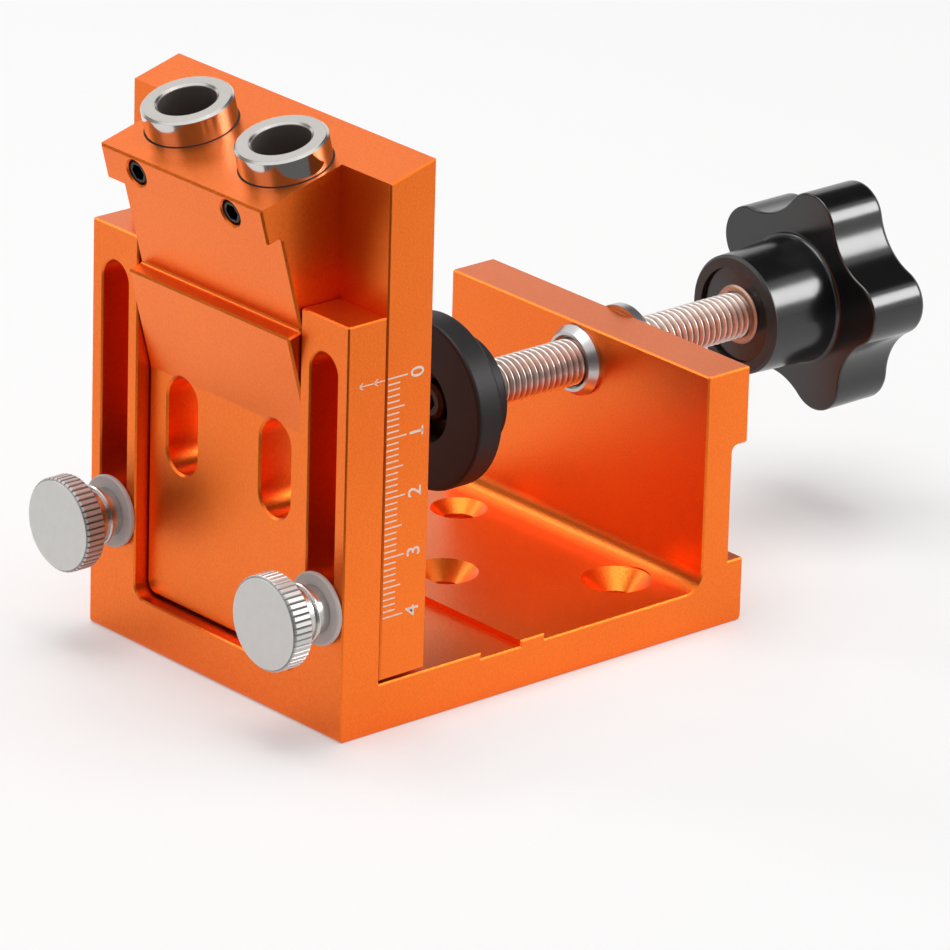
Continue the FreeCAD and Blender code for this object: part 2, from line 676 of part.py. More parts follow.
def make_pad():
    """Clamp pad: a disc with a recess in its face and a boss that runs on the spindle's nose."""
    rim_end = PAD_RIM_THICKNESS
    total = rim_end + PAD_BOSS_LENGTH
    profile = [
        (0, PAD_RECESS_RADIUS),
        (0, PAD_RADIUS),
        (rim_end, PAD_RADIUS),
        (rim_end, PAD_BOSS_RADIUS),
        (total, PAD_BOSS_RADIUS),
        (total, PAD_SOCKET_RADIUS),
        (total - PAD_SOCKET_DEPTH, PAD_SOCKET_RADIUS),
        (total - PAD_SOCKET_DEPTH, JOURNAL_BORE_RADIUS),
        (PAD_RECESS_DEPTH, JOURNAL_BORE_RADIUS),
        (PAD_RECESS_DEPTH, PAD_RECESS_RADIUS),
    ]
    pad = turned(profile, spindle_point(PAD_FACE_Y), Y_AXIS)

    def worn_edges(box):
        level = at(box.YMin, box.YMax)
        rim = box.XLength > 2 * PAD_RADIUS - 1
        boss = at(box.XLength, 2 * PAD_BOSS_RADIUS, 0.5) and at(box.YMin, PAD_REAR_Y)
        return level and (rim or boss)
    return pad.makeFillet(PAD_EDGE_ROUND, edges_where(pad, worn_edges))


def make_pad_washer():
    """Steel washer under the pad screw's head, which keeps the pad on the journal."""
    profile = [
        (0, PAD_SCREW_BORE_RADIUS),
        (0, PAD_WASHER_RADIUS),
        (PAD_WASHER_THICKNESS, PAD_WASHER_RADIUS),
        (PAD_WASHER_THICKNESS, PAD_SCREW_BORE_RADIUS),
    ]
    return turned(profile, spindle_point(NOSE_Y - PAD_WASHER_THICKNESS), Y_AXIS)


def make_pad_screw():
    """Button-head screw in the spindle's nose."""
    head_y = NOSE_Y - PAD_WASHER_THICKNESS - PAD_SCREW_HEAD_HEIGHT
    head = PAD_SCREW_HEAD_HEIGHT
    dome = head / 2
    end = head + PAD_WASHER_THICKNESS + PAD_SCREW_LENGTH
    profile = [
        (0, 0),
        (0, PAD_SCREW_HEAD_RADIUS - dome),
        (dome / 3, PAD_SCREW_HEAD_RADIUS - dome / 3),
        (dome, PAD_SCREW_HEAD_RADIUS),
        (head, PAD_SCREW_HEAD_RADIUS),
        (head, PAD_SCREW_RADIUS),
        (end, PAD_SCREW_RADIUS),
        (end, 0),
    ]
    screw = turned(profile, spindle_point(head_y), Y_AXIS)
    return screw.cut(hex_socket(spindle_point(head_y), Y_AXIS, PAD_SCREW_SOCKET, PAD_SCREW_SOCKET_DEPTH))


def star_outline():
    """Five-lobed outline of the knob: convex lobes and concave valleys that meet in tangents."""
    half_step = math.pi / LOBE_COUNT
    # The valley arc's radius follows from its lowest point and from touching both lobes
    lobe = LOBE_CENTRE
    spread = 2 * lobe * math.cos(half_step)
    top = VALLEY_RADIUS ** 2 + lobe ** 2 - spread * VALLEY_RADIUS - LOBE_RADIUS ** 2
    valley_arc = top / (2 * LOBE_RADIUS + spread - 2 * VALLEY_RADIUS)
    valley_centre = VALLEY_RADIUS + valley_arc

    def polar(radius, angle):
        return spindle_point(STAR_Y) + X_AXIS * radius * math.cos(angle) + Z_AXIS * radius * math.sin(angle)

    edges = []
    for index in range(LOBE_COUNT):
        angle = math.radians(LOBE_FIRST_ANGLE) + 2 * half_step * index
        centre = polar(lobe, angle)
        before = polar(valley_centre, angle - half_step)
        after = polar(valley_centre, angle + half_step)
        start = centre + (before - centre).normalize() * LOBE_RADIUS
        end = centre + (after - centre).normalize() * LOBE_RADIUS
        following = polar(lobe, angle + 2 * half_step)
        next_start = following + (after - following).normalize() * LOBE_RADIUS
        edges.append(Part.Arc(start, polar(lobe + LOBE_RADIUS, angle), end).toShape())
        edges.append(Part.Arc(end, polar(VALLEY_RADIUS, angle + half_step), next_start).toShape())
    return Part.Wire(edges)


def make_knob():
    """Five-lobed star knob with a tapered hub, hollowed for its metal insert."""
    star = Part.Face(star_outline()).extrude(Y_AXIS * STAR_THICKNESS)
    star = star.makeFillet(STAR_FRONT_ROUND, edges_where(
        star, lambda box: at(box.YMin, STAR_Y) and at(box.YMax, STAR_Y)))
    back_y = STAR_Y + STAR_THICKNESS
    star = star.makeFillet(STAR_BACK_ROUND, edges_where(
        star, lambda box: at(box.YMin, back_y) and at(box.YMax, back_y)))
    taper = (HUB_ROOT_RADIUS - HUB_FACE_RADIUS) / HUB_LENGTH
    profile = [
        (0, 0),
        (0, HUB_FACE_RADIUS - HUB_BREAK),
        (HUB_BREAK, HUB_FACE_RADIUS + taper * HUB_BREAK),
        (HUB_LENGTH + OVERRUN, HUB_ROOT_RADIUS),
        (HUB_LENGTH + OVERRUN, 0),
    ]
    knob = star.fuse(turned(profile, spindle_point(HUB_Y), Y_AXIS)).removeSplitter()

    def hub_root(box):
        return at(box.YMin, STAR_Y) and at(box.YMax, STAR_Y) and at(box.XLength, 2 * HUB_ROOT_RADIUS, 0.5)
    knob = knob.makeFillet(HUB_ROOT_FILLET, edges_where(knob, hub_root))
    hollow = [
        (-OVERRUN, 0),
        (-OVERRUN, HUB_RECESS_RADIUS),
        (HUB_RECESS_DEPTH, HUB_RECESS_RADIUS),
        (HUB_RECESS_DEPTH, INSERT_SEAT_RADIUS),
        (HUB_RECESS_DEPTH + INSERT_DEPTH, INSERT_SEAT_RADIUS),
        (HUB_RECESS_DEPTH + INSERT_DEPTH, 0),
    ]
    return knob.cut(turned(hollow, spindle_point(HUB_Y), Y_AXIS))


def make_insert():
    """Metal insert moulded into the hub, which holds the spindle's end."""
    profile = [
        (0, SPINDLE_SEAT_RADIUS),
        (0, INSERT_RADIUS - INSERT_BREAK),
        (INSERT_BREAK, INSERT_RADIUS),
        (INSERT_DEPTH, INSERT_RADIUS),
        (INSERT_DEPTH, SPINDLE_SEAT_RADIUS),
    ]
    return turned(profile, spindle_point(INSERT_Y), Y_AXIS)


def make_parts():
    """Every piece of the jig by its node name."""
    parts = {
        "base_frame": make_frame(),
        "drill_carriage": make_carriage(),
        "clamp_spindle": make_spindle(),
        "spindle_bush": make_spindle_bush(),
        "bush_lock_nut": make_lock_nut(),
        "clamp_pad": make_pad(),
        "pad_washer": make_pad_washer(),
        "pad_screw": make_pad_screw(),
        "star_knob": make_knob(),
        "knob_insert": make_insert(),
    }
    for name, side in SIDES.items():
        parts["drill_bush_" + name] = make_drill_bush(side)
        parts["bush_set_screw_" + name] = make_set_screw(side)
        parts["thumb_screw_" + name] = make_thumb_screw(side)
        parts["nylon_washer_" + name] = make_nylon_washer(side)
    return parts


os.makedirs("parts", exist_ok=True)
for node, shape in make_parts().items():
    solid = shape.Solids[0] if len(shape.Solids) == 1 else shape
    print(f"{node}: {len(shape.Solids)} solid, valid {shape.isValid()}, {solid.Volume / 1000:.3f} cm3")
    solid.exportStep(os.path.join("parts", node + ".step"))
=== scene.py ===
"""Looks of a pocket hole jig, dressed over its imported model.

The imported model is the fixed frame, and every length here is in metres. Sizes of the jig's own
details are written in millimetres and multiplied by MM.
"""

import logging
import math
from dataclasses import dataclass
from enum import Enum
from typing import Mapping, Sequence, Union

import bmesh
import bpy
from mathutils import Matrix, Vector


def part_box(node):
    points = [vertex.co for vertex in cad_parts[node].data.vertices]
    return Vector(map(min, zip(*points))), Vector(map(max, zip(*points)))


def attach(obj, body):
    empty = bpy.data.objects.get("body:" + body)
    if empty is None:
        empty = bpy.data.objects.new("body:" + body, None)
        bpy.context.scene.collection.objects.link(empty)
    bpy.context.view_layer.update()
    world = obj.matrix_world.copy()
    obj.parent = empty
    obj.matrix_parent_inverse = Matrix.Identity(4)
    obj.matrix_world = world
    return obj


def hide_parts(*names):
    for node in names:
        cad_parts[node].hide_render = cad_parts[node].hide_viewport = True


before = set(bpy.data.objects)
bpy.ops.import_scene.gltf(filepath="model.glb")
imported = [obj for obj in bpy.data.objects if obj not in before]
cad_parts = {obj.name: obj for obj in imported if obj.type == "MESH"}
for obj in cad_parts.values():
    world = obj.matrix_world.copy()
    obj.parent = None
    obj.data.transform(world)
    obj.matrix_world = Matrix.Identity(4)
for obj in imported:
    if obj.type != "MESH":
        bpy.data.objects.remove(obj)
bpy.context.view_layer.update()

MM = 0.001
FULL_TURN = 2 * math.pi
SIDES = {"left": -1, "right": 1}
log = logging.getLogger("pocket_hole_jig")

Colour = tuple[float, float, float]
Point = tuple[float, float, float]
Value = Union[float, "Signal"]


# Shader maths

class Signal:
    """A socket of a node tree, on which the usual operators add Math nodes."""

    def __init__(self, shading: "Shading", socket: bpy.types.NodeSocket) -> None:
        """Wraps one output socket.

        Args:
            shading: The node tree that owns the socket.
            socket: The output socket.
        """
        self.shading = shading
        self.socket = socket

    def __add__(self, other: Value) -> "Signal":
        """This value plus another."""
        return self.shading.math("ADD", self, other)

    __radd__ = __add__

    def __sub__(self, other: Value) -> "Signal":
        """This value less another."""
        return self.shading.math("SUBTRACT", self, other)

    def __rsub__(self, other: Value) -> "Signal":
        """Another value less this one."""
        return self.shading.math("SUBTRACT", other, self)

    def __mul__(self, other: Value) -> "Signal":
        """This value times another."""
        return self.shading.math("MULTIPLY", self, other)

    __rmul__ = __mul__

    def __truediv__(self, other: Value) -> "Signal":
        """This value divided by another."""
        return self.shading.math("DIVIDE", self, other)

    def __pow__(self, other: Value) -> "Signal":
        """This value raised to a power."""
        return self.shading.math("POWER", self, other)

    def above(self, edge: float, soft: float) -> "Signal":
        """Mask that rises smoothly from 0 to 1 as this value passes an edge.

        Args:
            edge: The value at the middle of the rise.
            soft: The width of the rise.

        Returns:
            The mask, between 0 and 1.
        """
        node = self.shading.node(
            "ShaderNodeMapRange",
            {"interpolation_type": "SMOOTHSTEP"},
            {"Value": self, "From Min": edge - soft / 2, "From Max": edge + soft / 2},
        )
        return Signal(self.shading, node.outputs["Result"])


class Shading:
    """A node tree, and the nodes that the finishes and the studio add to it."""

    def __init__(self, tree: bpy.types.NodeTree) -> None:
        """Takes a tree, and clears it."""
        self.tree = tree
        tree.nodes.clear()

    def node(
        self,
        kind: str,
        settings: Mapping[str, object],
        inputs: Mapping[Union[str, int], object],
    ) -> bpy.types.Node:
        """Adds a node.

        Args:
            kind: The node's type.
            settings: Its properties, set first.
            inputs: The values or signals of its sockets, by name or number.

        Returns:
            The new node.
        """
        node = self.tree.nodes.new(kind)
        for key, value in settings.items():
            setattr(node, key, value)
        for key, value in inputs.items():
            self.feed(node.inputs[key], value)
        return node

    def feed(self, socket: bpy.types.NodeSocket, value: object) -> None:
        """Links a signal to a socket, or writes a plain value on it.

        Args:
            socket: The input socket.
            value: A signal, a number or a colour.
        """
        if isinstance(value, Signal):
            self.tree.links.new(value.socket, socket)
        else:
            socket.default_value = value

    def math(self, operation: str, first: Value, second: Value) -> Signal:
        """Adds a Math node on two values."""
        node = self.node("ShaderNodeMath", {"operation": operation}, {0: first, 1: second})
        return Signal(self, node.outputs[0])

    def place(
        self, origin: Sequence[float] = (0, 0, 0), turn: Sequence[float] = (0, 0, 0)
    ) -> Signal:
        """Object coordinates, moved and then turned about an origin.

        Args:
            origin: The point that becomes the pattern's origin.
            turn: Turns about X, Y and Z in radians.

        Returns:
            The vector signal.
        """
        coordinates = self.node("ShaderNodeTexCoord", {}, {})
        shift = self.node(
            "ShaderNodeVectorMath",
            {"operation": "SUBTRACT"},
            {0: Signal(self, coordinates.outputs["Object"]), 1: tuple(origin)},
        )
        mapping = self.node(
            "ShaderNodeMapping",
            {"vector_type": "POINT"},
            {"Vector": Signal(self, shift.outputs[0]), "Rotation": tuple(turn)},
        )
        return Signal(self, mapping.outputs["Vector"])

    def axes(self, vector: Signal) -> tuple[Signal, Signal, Signal]:
        """The X, Y and Z parts of a vector."""
        node = self.node("ShaderNodeSeparateXYZ", {}, {"Vector": vector})
        return tuple(Signal(self, node.outputs[part]) for part in "XYZ")

    def radius(self, first: Signal, second: Signal) -> Signal:
        """Distance from an axis, from the two parts of a place square to it."""
        return (first * first + second * second) ** 0.5

    def noise(self, vector: Signal, scale: float, detail: float = 2.0) -> Signal:
        """Noise between 0 and 1, with a scale in features a metre."""
        node = self.node(
            "ShaderNodeTexNoise", {}, {"Vector": vector, "Scale": scale, "Detail": detail}
        )
        return Signal(self, node.outputs["Fac"])

    def ring_space(self, radius: Signal, vector: Signal, squeeze: float = 0.03) -> Signal:
        """A vector for marks that run round the Z axis.

        Args:
            radius: The distance from the axis, which becomes X.
            vector: The place, whose X and Y become Y and Z.
            squeeze: What those two are multiplied by, which draws the marks out.

        Returns:
            The vector signal.
        """
        x, y = self.axes(vector)[:2]
        node = self.node(
            "ShaderNodeCombineXYZ", {}, {"X": radius, "Y": x * squeeze, "Z": y * squeeze}
        )
        return Signal(self, node.outputs["Vector"])

    def stretched(self, vector: Signal, scales: Sequence[float]) -> Signal:
        """A vector multiplied part by part, for patterns longer one way than another."""
        node = self.node(
            "ShaderNodeVectorMath", {"operation": "MULTIPLY"}, {0: vector, 1: tuple(scales)}
        )
        return Signal(self, node.outputs[0])

    def blend(self, factor: Value, first: object, second: object) -> Signal:
        """Mixes two colours.

        Args:
            factor: 0 for the first colour, 1 for the second.
            first: A colour, or the signal of one.
            second: A colour, or the signal of one.

        Returns:
            The mixed colour.
        """
        node = self.node("ShaderNodeMix", {"data_type": "RGBA"}, {0: factor})
        for identifier, value in (("A_Color", first), ("B_Color", second)):
            socket = next(item for item in node.inputs if item.identifier == identifier)
            self.feed(socket, value if isinstance(value, Signal) else (*value, 1.0))
        result = next(item for item in node.outputs if item.identifier == "Result_Color")
        return Signal(self, result)


class Surface(Shading):
    """One material in the making: a Principled shader and the nodes that feed it."""

    def __init__(self, name: str) -> None:
        """Starts a material.

        Args:
            name: The material's name.
        """
        self.material = bpy.data.materials.new(name)
        self.material.use_nodes = True
        super().__init__(self.material.node_tree)
        self.shader = self.tree.nodes.new("ShaderNodeBsdfPrincipled")
        self.output = self.tree.nodes.new("ShaderNodeOutputMaterial")
        self.tree.links.new(self.shader.outputs["BSDF"], self.output.inputs["Surface"])

    def set(self, **values: object) -> None:
        """Writes values or signals on the shader's sockets, with underscores for spaces."""
        for key, value in values.items():
            socket = key.replace("_", " ").title().replace("Ior", "IOR")
            self.feed(self.shader.inputs[socket], value)

    def bump(self, height: Signal, distance: float, strength: float = 1.0) -> None:
        """Adds relief to the shader's normal, with its depth in metres."""
        node = self.node(
            "ShaderNodeBump", {}, {"Height": height, "Distance": distance, "Strength": strength}
        )
        self.feed(self.shader.inputs["Normal"], Signal(self, node.outputs["Normal"]))


# Finishes

def shaded(colour: Colour, share: float) -> Colour:
    """A colour made darker or paler, part by part."""
    return tuple(part * share for part in colour)


@dataclass(frozen=True)
class AnodisedAluminium:
    """Bead-blasted aluminium with a dyed anodic layer."""

    name: str = "orange_anodised"
    deep: Colour = (0.87, 0.155, 0.010)
    pale: Colour = (0.98, 0.205, 0.017)
    roughness: float = 0.36
    roughness_spread: float = 0.1
    cloud_scale: float = 28.0
    cloud_share: float = 0.4
    grain_scale: float = 2600.0
    grain_share: float = 0.6
    grain_depth: float = 0.045 * MM
    grain_strength: float = 0.8
    coat: float = 0.22
    coat_roughness: float = 0.3

    def make(self) -> bpy.types.Material:
        """Builds the material.

        Returns:
            The material.
        """
        surface = Surface(self.name)
        place = surface.place()
        cloud = surface.noise(place, self.cloud_scale, detail=3.0)
        grain = surface.noise(place, self.grain_scale)
        speckle = (cloud * self.cloud_share + grain * self.grain_share).above(0.5, soft=0.5)
        surface.set(
            base_color=surface.blend(speckle, self.deep, self.pale),
            roughness=self.roughness + (grain - 0.5) * self.roughness_spread,
            metallic=1.0,
            coat_weight=self.coat,
            coat_roughness=self.coat_roughness,
        )
        surface.bump(grain, self.grain_depth, self.grain_strength)
        return surface.material


@dataclass(frozen=True)
class PolishedBush:
    """Hardened steel bush: mirror outside, turned rings on its face, dull in its bore, whose dark
    brown colour is painted shade.

    The roughnesses of the rim, the face, its turned rings, the bore and the cloud come on top of
    the side's own.
    """

    name: str
    seat: Point
    tilt: float
    bore_radius: float
    face_height: float
    side_colour: Colour = (0.66, 0.64, 0.62)
    face_colour: Colour = (0.54, 0.515, 0.485)
    bore_colour: Colour = (0.17, 0.14, 0.125)
    side_roughness: float = 0.08
    rim_roughness: float = 0.14
    face_roughness: float = 0.1
    turned_roughness: float = 0.2
    bore_roughness: float = 0.4
    cloud_roughness: float = 0.05
    bore_dullness: float = 0.55
    face_soft: float = 0.05 * MM
    rim_width: float = 0.45 * MM
    rim_soft: float = 0.3 * MM
    bore_soft: float = 0.1 * MM
    cloud_scale: float = 900.0
    ring_scale: float = 2400.0
    ring_squeeze: float = 0.15
    turned_scale: float = 5200.0
    turned_height: float = 0.25
    relief: float = 0.02 * MM

    def make(self) -> bpy.types.Material:
        """Builds the material.

        Returns:
            The material.
        """
        surface = Surface(self.name)
        place = surface.place(self.seat, (-self.tilt, 0.0, 0.0))
        x, y, z = surface.axes(place)
        radius = surface.radius(x, y)
        face = z.above(self.face_height - self.face_soft, self.face_soft)
        rim = z.above(self.face_height - self.rim_width, self.rim_soft)
        bore = 1.0 - radius.above(self.bore_radius + self.bore_soft, self.bore_soft)
        cloud = surface.noise(place, self.cloud_scale)
        round_space = surface.stretched(place, (self.ring_squeeze, self.ring_squeeze, 1.0))
        rings = surface.noise(round_space, self.ring_scale)
        turned = surface.noise(surface.ring_space(radius, place), self.turned_scale)
        steel = surface.blend(face, self.side_colour, self.face_colour)
        surface.set(
            # The bore is duller steel, and its dark brown colour is painted shade.
            base_color=surface.blend(bore, steel, self.bore_colour),
            roughness=self.side_roughness
            + rim * self.rim_roughness
            + face * (self.face_roughness + turned * self.turned_roughness)
            + bore * self.bore_roughness
            + cloud * self.cloud_roughness,
            metallic=1.0 - bore * self.bore_dullness,
        )
        height = turned * face * self.turned_height + rings * bore
        surface.bump(height, self.relief, strength=0.7)
        return surface.material


@dataclass(frozen=True)
class TurnedSteel:
    """Nickel-plated turned steel about an axis along Y, with a rough knurl where it has one, and
    painted shade that darkens the knurl's grooves.

    The face is what lies before a place on the axis, and the knurl what lies near its radius.
    Both stay off a piece that doesn't reach them, as at their default values.
    """

    name: str
    axis: Point
    colour: Colour = (0.63, 0.62, 0.60)
    cloud_shade: float = 0.92
    groove_shade: float = 0.45
    roughness: float = 0.22
    cloud_roughness: float = 0.06
    face_roughness: float = 0.36
    face_before: float = -1.0
    face_soft: float = 0.06 * MM
    knurl_roughness: float = 0.5
    knurl_radius: float = 1.0
    knurl_depth: float = 0.38 * MM
    head_inset: float = 1.6
    rib_inset: float = 0.5
    ring_pitch: float = 0.22 * MM
    cloud_scale: float = 700.0
    cloud_height: float = 0.4
    relief: float = 0.002 * MM

    def make(self) -> bpy.types.Material:
        """Builds the material.

        Returns:
            The material.
        """
        surface = Surface(self.name)
        place = surface.place(self.axis)
        x, y, z = surface.axes(place)
        radius = surface.radius(x, z)
        face = 1.0 - y.above(self.face_before, self.face_soft)
        turned = surface.math("SINE", radius * (FULL_TURN / self.ring_pitch), 0.0)
        cloud = surface.noise(place, self.cloud_scale, detail=3.0)
        head_edge = self.knurl_radius - self.knurl_depth * self.head_inset
        rib_edge = self.knurl_radius - self.knurl_depth * self.rib_inset
        head = radius.above(head_edge, self.knurl_depth) * (1.0 - face)
        painted_groove_shade = head * (1.0 - radius.above(rib_edge, self.knurl_depth))
        plain = surface.blend(cloud, self.colour, shaded(self.colour, self.cloud_shade))
        surface.set(
            # Painted shade: the knurl's grooves are darkened to a share of the steel's colour.
            base_color=surface.blend(painted_groove_shade, plain, shaded(self.colour, self.groove_shade)),
            roughness=self.roughness
            + face * (self.face_roughness - self.roughness)
            + head * (self.knurl_roughness - self.roughness)
            + cloud * self.cloud_roughness,
            metallic=1.0,
        )
        surface.bump(turned * face + cloud * self.cloud_height, self.relief, strength=0.5)
        return surface.material


@dataclass(frozen=True)
class ThreadedSteel:
    """Nickel-plated thread about an axis along Y, browner in its roots, where the brown is painted
    shade.
    """

    name: str
    axis: Point
    root_radius: float
    crest_radius: float
    crest: Colour = (0.70, 0.62, 0.575)
    root: Colour = (0.30, 0.185, 0.145)
    crest_edge: float = 0.42
    crest_soft: float = 0.75
    roughness: float = 0.3
    root_roughness: float = 0.16
    cloud_roughness: float = 0.08
    cloud_scale: float = 900.0
    cloud_sway: float = 0.5
    relief: float = 0.012 * MM

    def make(self) -> bpy.types.Material:
        """Builds the material.

        Returns:
            The material.
        """
        surface = Surface(self.name)
        place = surface.place(self.axis)
        x, _, z = surface.axes(place)
        depth = self.crest_radius - self.root_radius
        height = (surface.radius(x, z) - self.root_radius) / depth
        cloud = surface.noise(place, self.cloud_scale, detail=3.0)
        sway = (cloud - 0.5) * self.cloud_sway
        crest = (height + sway).above(self.crest_edge, self.crest_soft)
        surface.set(
            # Painted shade: the roots between the crests take a darker brown.
            base_color=surface.blend(crest, self.root, self.crest),
            roughness=self.roughness
            + (1.0 - crest) * self.root_roughness
            + cloud * self.cloud_roughness,
            metallic=1.0,
        )
        surface.bump(cloud, self.relief, strength=0.6)
        return surface.material


@dataclass(frozen=True)
class MouldedPlastic:
    """Moulded plastic, from a fine matt to a gloss, duller before a place along Y."""

    name: str
    colour: Colour
    roughness: float
    relief: float
    texture: float = 1500.0
    ior: float = 1.45
    face_before: float = -1.0
    face_soft: float = 0.2 * MM
    face_roughness: float = 0.45
    pale_share: float = 1.25
    cloud_scale: float = 60.0
    cloud_roughness: float = 0.03
    fine_roughness: float = 0.05

    def make(self) -> bpy.types.Material:
        """Builds the material.

        Returns:
            The material.
        """
        surface = Surface(self.name)
        place = surface.place()
        cloud = surface.noise(place, self.cloud_scale, detail=3.0)
        fine = surface.noise(place, self.texture)
        face = 1.0 - surface.axes(place)[1].above(self.face_before, self.face_soft)
        middle = self.roughness - (self.fine_roughness + self.cloud_roughness) / 2
        surface.set(
            base_color=surface.blend(cloud, self.colour, shaded(self.colour, self.pale_share)),
            roughness=middle
            + face * (self.face_roughness - self.roughness)
            + fine * self.fine_roughness
            + cloud * self.cloud_roughness,
            metallic=0.0,
            ior=self.ior,
        )
        surface.bump(fine, self.relief, strength=0.5)
        return surface.material


@dataclass(frozen=True)
class Nylon:
    """Natural nylon, slightly translucent."""

    name: str = "natural_nylon"
    deep: Colour = (0.64, 0.57, 0.55)
    pale: Colour = (0.74, 0.67, 0.65)
    roughness: float = 0.42
    roughness_spread: float = 0.06
    clearness: float = 0.25
    texture: float = 1400.0
    relief: float = 0.004 * MM

    def make(self) -> bpy.types.Material:
        """Builds the material.

        Returns:
            The material.
        """
        surface = Surface(self.name)
        fine = surface.noise(surface.place(), self.texture)
        surface.set(
            base_color=surface.blend(fine, self.deep, self.pale),
            roughness=self.roughness + fine * self.roughness_spread,
            metallic=0.0,
            transmission_weight=self.clearness,
        )
        surface.bump(fine, self.relief, strength=0.5)
        return surface.material


@dataclass(frozen=True)
class MachinedMetal:
    """Plain machined or blackened metal for inserts, screws and gaps."""

    name: str
    colour: Colour
    roughness: float
    metallic: float = 1.0
    dark_share: float = 0.8
    roughness_spread: float = 0.1
    texture: float = 2200.0
    relief: float = 0.004 * MM

    def make(self) -> bpy.types.Material:
        """Builds the material.

        Returns:
            The material.
        """
        surface = Surface(self.name)
        fine = surface.noise(surface.place(), self.texture, detail=3.0)
        surface.set(
            base_color=surface.blend(fine, shaded(self.colour, self.dark_share), self.colour),
            roughness=self.roughness + (fine - 0.5) * self.roughness_spread,
            metallic=self.metallic,
        )
        surface.bump(fine, self.relief, strength=0.4)
        return surface.material


@dataclass(frozen=True)
class EngravedMark:
    """Pale line left by laser engraving through the dyed layer."""

    name: str = "engraved_mark"
    deep: Colour = (0.90, 0.68, 0.54)
    pale: Colour = (1.0, 0.93, 0.85)
    roughness: float = 0.55
    roughness_spread: float = 0.1
    texture: float = 5000.0

    def make(self) -> bpy.types.Material:
        """Builds the material.

        Returns:
            The material.
        """
        surface = Surface(self.name)
        fine = surface.noise(surface.place(), self.texture)
        surface.set(
            base_color=surface.blend(fine, self.deep, self.pale),
            roughness=self.roughness + fine * self.roughness_spread,
            metallic=0.0,
        )
        return surface.material


# Mesh helpers

def piece_from(bm: bmesh.types.BMesh, name: str, smooth: bool = False) -> bpy.types.Object:
    """Turns a bmesh into a scene object at the origin.

    Args:
        bm: The mesh in the making, which is freed.
        name: The piece's name.
        smooth: Whether its faces are shaded smooth.

    Returns:
        The new object.
    """
    for face in bm.faces:
        face.smooth = smooth
    mesh = bpy.data.meshes.new(name)
    bm.to_mesh(mesh)
    bm.free()
    piece = bpy.data.objects.new(name, mesh)
    bpy.context.scene.collection.objects.link(piece)
    return piece


def finish_piece(
    piece: bpy.types.Object, material: bpy.types.Material, body: str
) -> None:
    """Dresses a new piece, makes it ride on its body and reports it.

    Args:
        piece: The new piece.
        material: Its material.
        body: The body that carries it.
    """
    piece.data.materials.append(material)
    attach(piece, body)
    log.info("%s: %d faces on body %s", piece.name, len(piece.data.polygons), body)


def dress(node: str, material: bpy.types.Material) -> None:
    """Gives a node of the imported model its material.

    Args:
        node: The node's name.
        material: Its material.
    """
    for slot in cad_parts[node].material_slots:
        slot.material = material
    log.info("%s dressed with %s", node, material.name)


def add_block(bm: bmesh.types.BMesh, centre: Vector, size: Vector) -> None:
    """Adds a box to a bmesh, by its centre and its full size."""
    matrix = Matrix.Translation(centre) @ Matrix.Diagonal((*size, 1.0))
    bmesh.ops.create_cube(bm, size=1.0, matrix=matrix)


# Sub-assemblies

@dataclass
class BaseFrame:
    """The anodised frame, with the index mark engraved on its right side."""

    node: str = "base_frame"
    mark_height: float = 59.25 * MM
    mark_start: float = 7.5 * MM
    mark_tip: float = 2.3 * MM
    mark_second: float = 5.3 * MM
    barb: float = 0.95 * MM
    barb_spread: float = math.radians(36)
    line_width: float = 0.17 * MM
    depth: float = 0.03 * MM

    def build(self, anodised: bpy.types.Material, engraved: bpy.types.Material) -> None:
        """Dresses the frame and engraves its index mark.

        Args:
            anodised: The frame's material.
            engraved: The mark's material.
        """
        dress(self.node, anodised)
        finish_piece(self.index_mark(), engraved, "frame")

    def index_mark(self) -> bpy.types.Object:
        """Arrow that points away from the scale, as thin bars on the frame's side.

        Returns:
            The arrow, with its two pairs of barbs.
        """
        low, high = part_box(self.node)
        start = Vector((high.x, low.y + self.mark_start, self.mark_height))
        tip = Vector((high.x, low.y + self.mark_tip, self.mark_height))
        bm = bmesh.new()
        self.add_line(bm, start, tip)
        for reach in (self.mark_tip, self.mark_second):
            point = Vector((high.x, low.y + reach, self.mark_height))
            for side in (-1, 1):
                angle = side * self.barb_spread
                end = point + Vector((0, self.barb * math.cos(angle), self.barb * math.sin(angle)))
                self.add_line(bm, point, end)
        return piece_from(bm, "index_mark")

    def add_line(self, bm: bmesh.types.BMesh, start: Vector, end: Vector) -> None:
        """Adds one engraved line in the plane of the frame's side.

        Args:
            bm: The mesh in the making.
            start: One end of the line.
            end: Its other end.
        """
        run = end - start
        turn = Matrix.Rotation(math.atan2(run.z, run.y), 4, "X")
        size = Matrix.Diagonal((self.depth, run.length, self.line_width, 1.0))
        matrix = Matrix.Translation((start + end) / 2) @ turn @ size
        bmesh.ops.create_cube(bm, size=1.0, matrix=matrix)


class TickKind(Enum):
    """Lengths of the scale's lines, in metres."""

    SHORT = 2.45 * MM
    MIDDLE = 3.45 * MM
    LONG = 4.0 * MM


